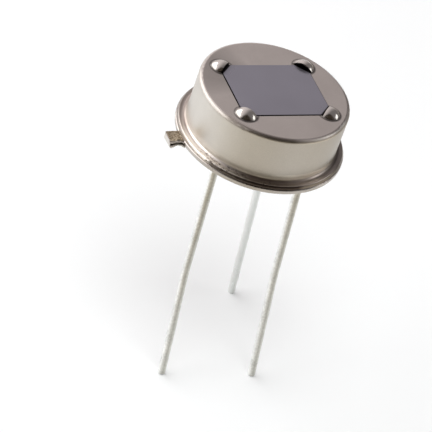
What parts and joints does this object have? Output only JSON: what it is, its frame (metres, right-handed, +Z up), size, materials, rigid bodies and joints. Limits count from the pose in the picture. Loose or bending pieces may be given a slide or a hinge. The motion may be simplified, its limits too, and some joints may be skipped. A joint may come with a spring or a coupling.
{
  "type": "pir motion sensor",
  "caption": "Passive infrared motion sensor in a round metal can, with a dark rectangular filter under corner hoods, a locating tab and bent wire leads.",
  "frame": {"origin": "centre of the header's underside, which is the seating plane", "axes": "+Z up the can's axis towards the window, +X along the window's long side, with the tab near -X"},
  "size_m": [0.01, 0.0092, 0.0175],
  "materials": {
    "cap_nickel": "satin nickel plate on drawn sheet",
    "header_nickel": "nickel plate on stamped steel",
    "lead_wire": "dull plated round wire",
    "filter_coating": "polished dark infrared coating",
    "bond_adhesive": "cured black adhesive",
    "seal_glass": "dark green sealing glass",
    "braze_metal": "smooth brazed metal",
    "spacer_plastic": "moulded insulating plastic",
    "board_ceramic": "fired white ceramic",
    "track_silver": "printed and fired silver",
    "solder": "bright solder",
    "element_ceramic": "polished ceramic",
    "absorber_black": "matt black film",
    "bond_silver": "silver-filled adhesive",
    "moulding_black": "moulded black epoxy",
    "leg_tinned": "tinned metal",
    "resistor_black": "printed resistor film on ceramic"
  },
  "bodies": {
    "root": {"cap": "cap_nickel", "window_filter": "filter_coating", "filter_bond": "bond_adhesive", "header": "header_nickel", "glass_seal_drain": "seal_glass", "glass_seal_source": "seal_glass", "ground_braze": "braze_metal", "lead_drain": "lead_wire", "lead_source": "lead_wire", "lead_ground": "lead_wire", "board_spacer": "spacer_plastic", "circuit_board": "board_ceramic", "circuit_tracks": "track_silver", "pin_solder_drain": "solder", "pin_solder_source": "solder", "pin_solder_ground": "solder", "pyro_plate": "element_ceramic", "front_electrode_left": "absorber_black", "front_electrode_right": "absorber_black", "rear_electrode_left": "track_silver", "rear_electrode_right": "track_silver", "element_bond_left": "bond_silver", "element_bond_right": "bond_silver", "fet_body": "moulding_black", "fet_leg_gate": "leg_tinned", "fet_leg_source": "leg_tinned", "fet_leg_drain": "leg_tinned", "gate_resistor": "resistor_black", "resistor_end_left": "leg_tinned", "resistor_end_right": "leg_tinned"}
  },
  "joints": []
}
